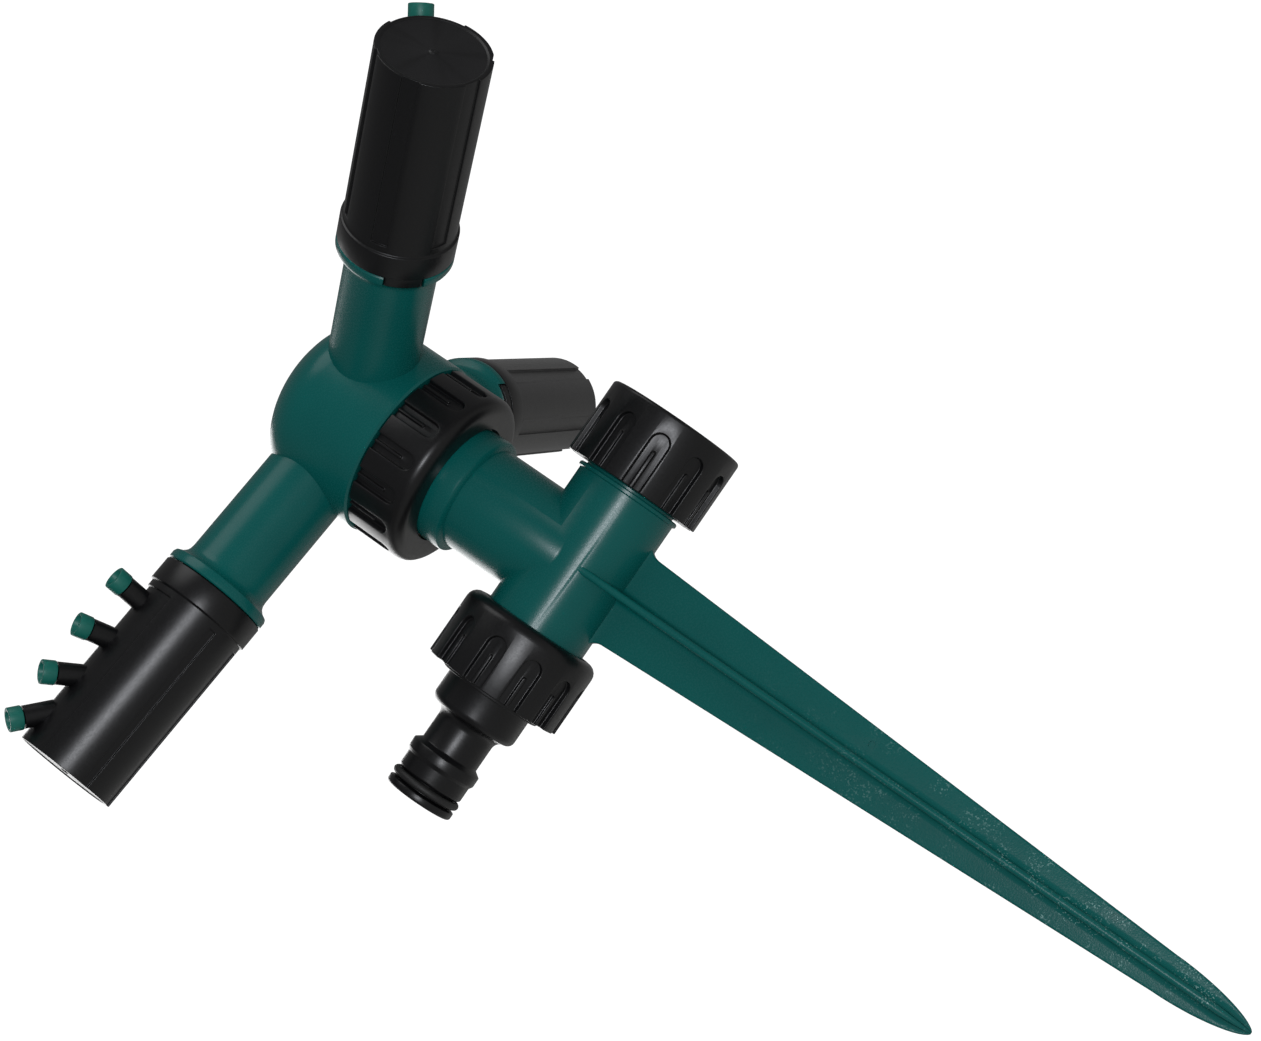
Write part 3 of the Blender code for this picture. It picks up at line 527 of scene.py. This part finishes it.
# %% Cut a finger groove
def cut_groove(obj, radius, share, mouth, arch, half, depths, rib=0.5):
    """Cut one groove in mm at the middle of a share, from its open mouth to the top of its arch."""
    way = 1 if arch > mouth else -1
    foot = mouth - 2 * way
    bend = arch - way * half
    crown = [(half * cos(radians(t)), bend + way * half * sin(radians(t))) for t in range(0, 181, 15)]
    top = arch - 2 * way * half
    rib_top = [(-rib * cos(radians(t)), top + way * rib * sin(radians(t))) for t in range(0, 181, 30)]
    horseshoe = [(half, foot)] + crown + [(-half, foot), (-rib, foot)] + rib_top + [(rib, foot)]
    over = top + way * (rib + 0.4)
    rib_cover = [(rib + 0.4, foot - way), (rib + 0.4, over), (-rib - 0.4, over), (-rib - 0.4, foot - way)]
    for outline, depth in ((horseshoe, depths[1]), (rib_cover, depths[0])):
        points = [(radius - depth, share / 2 + y, z) for y, z in outline]
        combine(obj, extrude_outline("groove", points, (depth + 2, 0, 0)), "DIFFERENCE")
    return obj


CAP_R, CAP_GROOVES, CAP_GROOVE_HALF = 17.9, 11, 2.55
print("a cap groove is", 2 * CAP_GROOVE_HALF, "mm wide")

# %% [markdown]
# These caps and nuts are moulded ABS, black right through, from a polished tool. The surface is smooth and
# half glossy: the light shows in it as a clear streak with faint ripples, where the plastic shrank over
# thicker walls. The ripples are about 4 mm long, and a finer noise of 0.4 mm stands for handling dust.

# %% Black moulded ABS
def black_abs(name, colour, low_rough, high_rough):
    material, shader = new_plastic(name, IOR=1.52, Specular_IOR_Level=0.4)
    place = add_node(material, "ShaderNodeTexCoord").outputs["Object"]
    ripple = add_node(material, "ShaderNodeTexNoise", {"Scale": 250.0, "Detail": 2.0}, {"Vector": place})
    dust = add_node(material, "ShaderNodeTexNoise", {"Scale": 2500.0, "Detail": 3.0}, {"Vector": place})
    rays = add_node(material, "ShaderNodeAttribute", {"attribute_name": "flow_rays"}).outputs["Fac"]
    haze = add_node(material, "ShaderNodeMath", {"operation": "ADD"}, {0: dust.outputs["Fac"], 1: rays})
    tint = add_node(material, "ShaderNodeMix", {"data_type": "RGBA", 6: linear(colour[0]), 7: linear(colour[1])},
                    {0: haze.outputs["Value"]})
    material.node_tree.links.new(tint.outputs[2], shader.inputs["Base Color"])
    shine = add_node(material, "ShaderNodeMapRange", {"To Min": low_rough, "To Max": high_rough},
                     {"Value": haze.outputs["Value"]})
    material.node_tree.links.new(shine.outputs["Result"], shader.inputs["Roughness"])
    bump = add_node(material, "ShaderNodeBump", {"Strength": 0.25, "Distance": 0.12 * MM},
                    {"Height": ripple.outputs["Fac"]})
    grit = add_node(material, "ShaderNodeBump", {"Strength": 0.12, "Distance": 0.03 * MM},
                    {"Height": dust.outputs["Fac"], "Normal": bump.outputs["Normal"]})
    material.node_tree.links.new(grit.outputs["Normal"], shader.inputs["Normal"])
    return material


BLACK = black_abs("black_moulded_abs", ("#0B0B0C", "#141416"), 0.24, 0.42)
print("material:", BLACK.name)

# %% [markdown]
# The blank cap closes the cross tube's spare end. Its section is a thick cup with a core hole in its floor,
# and eleven grooves open at its mouth.

# %% Blank cap
cap_section = [(0, 41.7)] + round_corner((17.0, 40.8), 0.9, 90, 0) + [(17.9, 22.2), (13.5, 22.2), (13.5, 32.8)]
cap_section += [(9.0, 32.8), (9.0, 38.2), (0, 38.2)]
cap, cap_share = flat_share("end_cap", cap_section, CAP_R, CAP_GROOVES)
cut_groove(cap, CAP_R, cap_share, 22.2, 36.75, CAP_GROOVE_HALF, (0.65, 1.3))
wrap_round(cap, CAP_R, cap_share, CAP_GROOVES, 12)
set_in_place(cap, ALONG_CAP @ Matrix.Rotation(radians(-8.4 - 180 / CAP_GROOVES), 4, "Z"))
finish_piece(cap, BLACK, "cap", "blank_cap")

# %% [markdown]
# The hose nut holds the tap connector on. Its grooves open at the hose end, so there its outline is
# toothed, and its mouth toward the cross tube is rounded over.

# %% Hose nut
hose_nut_section = [(13.2, 36.7), (13.2, 35.8), (17.9, 35.8)] + round_corner((15.1, 20.2), 2.8, 0, -90)
hose_nut_section += [(14.3, 17.4), (14.3, 22.2), (13.5, 22.2), (13.5, 34.1), (11.6, 34.1), (11.6, 36.7)]
hose_nut, hose_share = flat_share("hose_nut", hose_nut_section, CAP_R, CAP_GROOVES)
cut_groove(hose_nut, CAP_R, hose_share, 35.8, 23.2, CAP_GROOVE_HALF, (0.65, 1.3))
wrap_round(hose_nut, CAP_R, hose_share, CAP_GROOVES, 12, 0.25)
set_in_place(hose_nut, ALONG_HOSE @ Matrix.Rotation(radians(-25.4 - 180 / CAP_GROOVES), 4, "Z"))
finish_piece(hose_nut, BLACK, "connector_ring", "connector_nut")

# %% [markdown]
# The ring nut under the hub holds the rotor down on its swivel and turns with it. It has fifteen grooves
# that open toward the hub, and a lip underneath that is hidden round the riser's collar.

# %% Swivel ring nut
RING_R, RING_GROOVES = 22.9, 15
ring_section = [(RING_R, 52.0)] + round_corner((19.9, 39.5), 3.0, 0, -90, 8) + [(15.7, 36.5), (15.7, 39.0)]
ring_section += [(19.5, 39.0), (19.5, 52.0)]
ring_nut, ring_share = flat_share("swivel_ring_nut", ring_section, RING_R, RING_GROOVES)
cut_groove(ring_nut, RING_R, ring_share, 52.0, 40.2, 2.1, (0.55, 1.2), 0.4)
wrap_round(ring_nut, RING_R, ring_share, RING_GROOVES, 10)
set_in_place(ring_nut, UPRIGHT @ Matrix.Rotation(radians(-12), 4, "Z"))
finish_piece(ring_nut, BLACK, "rotor", "swivel_nut")

# %% [markdown]
# The tap connector is a turned shape: a waist behind the nut, a catch ridge that a quick coupling grips,
# a groove with an O-ring, and a rounded lip. Spinning its section gives all of it at once.

# %% Hose tail and its O-ring
tail_section = [(5.85, 66.6), (8.5, 66.6), (8.85, 66.2), (8.85, 64.8), (8.0, 64.5), (7.0, 64.4), (7.0, 61.8)]
tail_section += [(8.2, 61.7), (8.5, 61.3), (8.5, 57.8), (9.1, 56.9), (9.1, 54.5), (7.55, 53.4)]
tail_section += round_corner((9.95, 46.9), 2.4, 180, 255, 9) + round_corner((9.35, 42.7), 1.9, 75, 0, 7)
tail_section += [(11.25, 33.8)]
tail_section += [(13.1, 33.8), (13.1, 32.2), (5.25, 32.2), (5.25, 66.0)]
tail = spin_piece("tap_tail", tail_section, ring=True)
soften(tail, 0.15, 2)
set_in_place(tail, ALONG_HOSE)
finish_piece(tail, BLACK, "tail", "hose_tail")

ring_circle = [(8.1 + 0.95 * cos(t), 63.1 + 0.95 * sin(t)) for t in [-2 * pi * i / 16 for i in range(16)]]
tail_ring = set_in_place(spin_piece("tail_ring", ring_circle, ring=True), ALONG_HOSE)

# %% [markdown]
# Seals are moulded nitrile rubber, matt and a little dusty, so their highlight is broad and faint. The
# sleeve that the swivel runs on is natural acetal: white, waxy, and slightly see-through at its edges.

# %% Rubber and acetal
def nitrile_rubber():
    material, shader = new_plastic("moulded_nitrile_rubber", IOR=1.52)
    place = add_node(material, "ShaderNodeTexCoord").outputs["Object"]
    dust = add_node(material, "ShaderNodeTexNoise", {"Scale": 1800.0, "Detail": 3.0}, {"Vector": place})
    tint = add_node(material, "ShaderNodeMix", {"data_type": "RGBA", 6: linear("#151515"), 7: linear("#242424")},
                    {0: dust.outputs["Fac"]})
    shine = add_node(material, "ShaderNodeMapRange", {"To Min": 0.45, "To Max": 0.7},
                     {"Value": dust.outputs["Fac"]})
    bump = add_node(material, "ShaderNodeBump", {"Strength": 0.2, "Distance": 0.03 * MM},
                    {"Height": dust.outputs["Fac"]})
    material.node_tree.links.new(tint.outputs[2], shader.inputs["Base Color"])
    material.node_tree.links.new(shine.outputs["Result"], shader.inputs["Roughness"])
    material.node_tree.links.new(bump.outputs["Normal"], shader.inputs["Normal"])
    return material


def natural_acetal():
    material, shader = new_plastic("natural_acetal", IOR=1.48, Subsurface_Weight=0.15, Subsurface_Scale=0.001)
    place = add_node(material, "ShaderNodeTexCoord").outputs["Object"]
    flow = add_node(material, "ShaderNodeTexNoise", {"Scale": 400.0, "Detail": 2.0}, {"Vector": place})
    tint = add_node(material, "ShaderNodeMix", {"data_type": "RGBA", 6: linear("#DAD9D0"), 7: linear("#E9E8E0")},
                    {0: flow.outputs["Fac"]})
    shine = add_node(material, "ShaderNodeMapRange", {"To Min": 0.3, "To Max": 0.42},
                     {"Value": flow.outputs["Fac"]})
    material.node_tree.links.new(tint.outputs[2], shader.inputs["Base Color"])
    material.node_tree.links.new(shine.outputs["Result"], shader.inputs["Roughness"])
    return material


RUBBER = nitrile_rubber()
ACETAL = natural_acetal()
finish_piece(tail_ring, RUBBER, "tail", "tail_o_ring")
arm_rings = [f"arm_o_ring_{number}" for number in (1, 2, 3)]
for name in ["swivel_seal_washer", "cap_washer", "connector_washer"] + arm_rings:
    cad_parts[name].material_slots[0].material = RUBBER
for name in ("swivel_spigot", "swivel_slip_washer"):
    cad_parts[name].material_slots[0].material = ACETAL
print("hidden seals and swivel sleeve have their materials")

# %% [markdown]
# A nozzle tube closes each arm. Its outside has shallow flats moulded in: a strip under the jets, and four
# grooves that run from behind the collar to the closed end, where they notch the rim. They are cut while
# the tube is still flat, with its full turn laid along Y and the jets' side in the middle.

# %% Nozzle tube, flat and then wrapped
TUBE_R = 13.3
MOUTH = 56.3
tube_section = [(0.9, 54.25), (1.1, 54.0), (11.9, 54.0), (12.2, 54.3), (13.3, 54.3), (13.3, 6.4), (13.9, 6.1)]
tube_section = [(0, 54.25)] + tube_section + [(13.9, 0), (11.0, 0), (11.0, 52.1), (0, 52.1)]
nozzle, whole_turn = flat_share("nozzle_tube", tube_section, TUBE_R, 1)
for first, last in ((139, 157), (203, 221), (92, 101), (259, 268), (-1, 40), (320, 361)):
    low, high = first / 360 * whole_turn, last / 360 * whole_turn
    corners = [(12.8, low, 8.2), (12.8, high, 8.2), (14.5, high, 8.2), (14.5, low, 8.2)]
    combine(nozzle, extrude_outline("flat", corners, (0, 0, 50)), "DIFFERENCE")
wrap_round(nozzle, TUBE_R, whole_turn, 1, 96, 0.22)
print("nozzle tube has", len(nozzle.data.polygons), "faces")

# %% [markdown]
# Four short stubs carry the jets. They fan out toward the closed end, so that each one waters its own
# strip of grass. The key opposite them drops into the arm's notch.

# %% Jet stubs and key
def jet_matrix(index):
    spot = Vector((TUBE_R, 0, 12.4 + 11.6 * index)) * MM
    return Matrix.Translation(spot) @ Matrix.Rotation(pi / 2 - index * radians(16.5), 4, "Y")


for index in range(4):
    stub = spin_piece("stub", [(0, 4.5), (2.75, 4.5), (2.75, -3), (0, -3)], 40)
    combine(nozzle, set_in_place(stub, jet_matrix(index)), "UNION")
for index in range(4):
    combine(nozzle, set_in_place(plug("stub_bore", 1.9, -6, 7, 32), jet_matrix(index)), "DIFFERENCE")
key_turns = [radians(t) for t in range(-19, 20, 2)]
key_rim = [(-13.6 * cos(t), 13.6 * sin(t), -2.6) for t in key_turns]
key_back = [(-11.7, 4.4, -2.6), (-11.7, -4.4, -2.6)]
tube_key = extrude_outline("key", key_rim + key_back, (0, 0, 4.6))
soften(tube_key, 0.3, 2)
combine(nozzle, tube_key, "UNION")
print("nozzle tube with jets has", len(nozzle.data.polygons), "faces")

# %% [markdown]
# The melt entered through the middle of the closed end and ran outward, which leaves faint rays there. A
# value is stored on each point of the end, changing with its direction from the middle, and the material
# reads it. Elsewhere the value stays even.

# %% Store the flow rays
flow_rays = nozzle.data.attributes.new("flow_rays", "FLOAT", "POINT")
for vertex, value in zip(nozzle.data.vertices, flow_rays.data):
    turn = atan2(vertex.co.y, vertex.co.x)
    on_end = vertex.co.z > 53.9 * MM and hypot(vertex.co.x, vertex.co.y) < 12.1 * MM
    value.value = 0.5 + 0.3 * sin(5 * turn) + 0.2 * sin(13 * turn + 1) if on_end else 0.0
print("points with rays:", sum(v.value > 0 for v in flow_rays.data))

# %% [markdown]
# The tube is made once and copied to each arm. Every copy keeps a mesh of its own, because the arms are
# separate parts of the model.

# %% Place the nozzle tubes
def tube_matrix(turn):
    outward = Matrix.Translation(Vector((0, 0, MOUTH * MM)))
    return UPRIGHT @ arm_matrix(turn) @ outward @ Matrix.Rotation(pi - JET_LEAN, 4, "Z")


def copy_piece(obj, name):
    copy = bpy.data.objects.new(name, obj.data.copy())
    bpy.context.collection.objects.link(copy)
    return copy


for number, turn in enumerate(ARM_TURNS, 1):
    tube_copy = set_in_place(copy_piece(nozzle, f"nozzle_{number}"), tube_matrix(turn))
    finish_piece(tube_copy, BLACK, "rotor", f"nozzle_tube_{number}")
bpy.data.objects.remove(nozzle, do_unlink=True)

# %% [markdown]
# Each stub ends in a soft green tip. It is moulded from thermoplastic rubber, so that lime can be rubbed
# off its hole with a thumb. It is a shade lighter and smoother than the arms.

# %% Soft jet tips
def soft_tip_rubber():
    material, shader = new_plastic("green_soft_tip_rubber", IOR=1.5)
    place = add_node(material, "ShaderNodeTexCoord").outputs["Object"]
    bloom = add_node(material, "ShaderNodeTexNoise", {"Scale": 1500.0, "Detail": 2.0}, {"Vector": place})
    tint = add_node(material, "ShaderNodeMix", {"data_type": "RGBA", 6: linear("#0A665A"), 7: linear("#0F7568")},
                    {0: bloom.outputs["Fac"]})
    shine = add_node(material, "ShaderNodeMapRange", {"To Min": 0.38, "To Max": 0.55},
                     {"Value": bloom.outputs["Fac"]})
    material.node_tree.links.new(tint.outputs[2], shader.inputs["Base Color"])
    material.node_tree.links.new(shine.outputs["Result"], shader.inputs["Roughness"])
    return material


TIP_GREEN = soft_tip_rubber()
tip_section = [(2.95, 8.1), (2.95, 4.8), (1.6, 4.8), (1.6, 0.5), (0.9, 0.5), (0.9, 6.8), (1.9, 6.9), (2.1, 8.1)]
tip = soften(spin_piece("tip", tip_section, 48, ring=True), 0.2, 2)
for number, turn in enumerate(ARM_TURNS, 1):
    for index in range(4):
        label = f"tip_{number}_{index + 1}"
        tip_copy = set_in_place(copy_piece(tip, label), tube_matrix(turn) @ jet_matrix(index))
        finish_piece(tip_copy, TIP_GREEN, "rotor", "jet_" + label)
bpy.data.objects.remove(tip, do_unlink=True)

# %% [markdown]
# A plain pale floor lies under the spike's tip. It is much bigger than the object, so its edge is out of
# sight, and its own light, which only the camera sees, keeps it even. It casts no shadow, because the main
# light stands lower than it does.

# %% Floor
FLOOR_Z = cad_bounds[0][2] - 0.06
bpy.ops.object.select_all(action="DESELECT")
bpy.ops.mesh.primitive_plane_add(size=12, location=(0, 0, FLOOR_Z))
floor = bpy.context.object
floor.name = "floor"
paper, paper_shader = new_plastic("white_paper_sweep", Roughness=0.9, Base_Color=linear("#D8D8D6"))
paper_shader.inputs["Emission Color"].default_value = (1, 1, 1, 1)
looked_at = add_node(paper, "ShaderNodeLightPath")
paper.node_tree.links.new(looked_at.outputs["Is Camera Ray"], paper_shader.inputs["Emission Strength"])
floor.data.materials.append(paper)
floor.visible_shadow = False
floor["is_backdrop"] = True
print("floor is at", round(FLOOR_Z / MM), "mm")

# %% [markdown]
# A small soft light stands low in front and draws a narrow streak along the round sides that face it. Two
# weaker ones fill from above, in front and behind, and a wide faint one glows behind the object. The room
# itself is white but dim, so black plastic stays black.

# %% Soft studio light
def soft_light(name, place, target, size, power):
    bpy.ops.object.light_add(type="AREA", location=place)
    light = bpy.context.object
    light.name = name
    light.data.shape = "DISK"
    light.data.size = size
    light.data.energy = power
    light.rotation_euler = (Vector(place) - Vector(target)).to_track_quat("Z", "Y").to_euler()
    return light


key_tint = (0.93, 0.95, 1.0)
key_way = Vector((-0.01, -0.975, -0.217)).normalized()
middle = Vector((-0.01, 0.01, -0.03))
key = soft_light("key_light", middle + key_way * 1.5, middle, 0.30, 9.0)
key.data.color = key_tint
soft_light("fill_light", (0.5, -0.5, 0.8), middle, 0.8, 2.5)
soft_light("back_light", (-0.5, 0.8, 0.5), middle, 0.8, 4.5)
backdrop = soft_light("backdrop_glow", (0.1, 0.9, -0.1), middle, 1.6, 0.7)
backdrop.visible_camera = False

world = bpy.data.worlds.new("white_room")
bpy.context.scene.world = world
world.use_nodes = True
seen = world.node_tree.nodes.new("ShaderNodeLightPath")
room = world.node_tree.nodes["Background"]
level = world.node_tree.nodes.new("ShaderNodeMapRange")
level.inputs["To Min"].default_value = 0.16
level.inputs["To Max"].default_value = 1.1
world.node_tree.links.new(seen.outputs["Is Camera Ray"], level.inputs["Value"])
world.node_tree.links.new(level.outputs["Result"], room.inputs["Strength"])
room.inputs["Color"].default_value = (1, 1, 1, 1)
bpy.context.scene.view_settings.view_transform = "Standard"

# %% [markdown]
# The camera looks up at the object from low in front, rolled so that the spike runs down to the right.

# %% Camera
bpy.ops.object.camera_add(location=(0.0056, -0.6251, -0.1855))
camera = bpy.context.object
camera.rotation_euler = [radians(a) for a in (119.591, 52.290, 22.111)]
camera.data.lens = 79.1
camera.data.sensor_width = 36
camera.data.shift_x = -0.0260
camera.data.shift_y = -0.0316
bpy.context.scene.camera = camera
print("camera is", round((camera.location - middle).length, 3), "m away")

# %% [markdown]
# The last step compares the box of the measured model with the box of what is shown, and prints the
# largest difference between their corners.

# %% Compare sizes and finish
shown_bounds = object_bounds()
differences = [(a - b).length for a, b in zip(cad_bounds, shown_bounds)]
print("largest difference:", round(max(differences) / MM, 2), "mm")
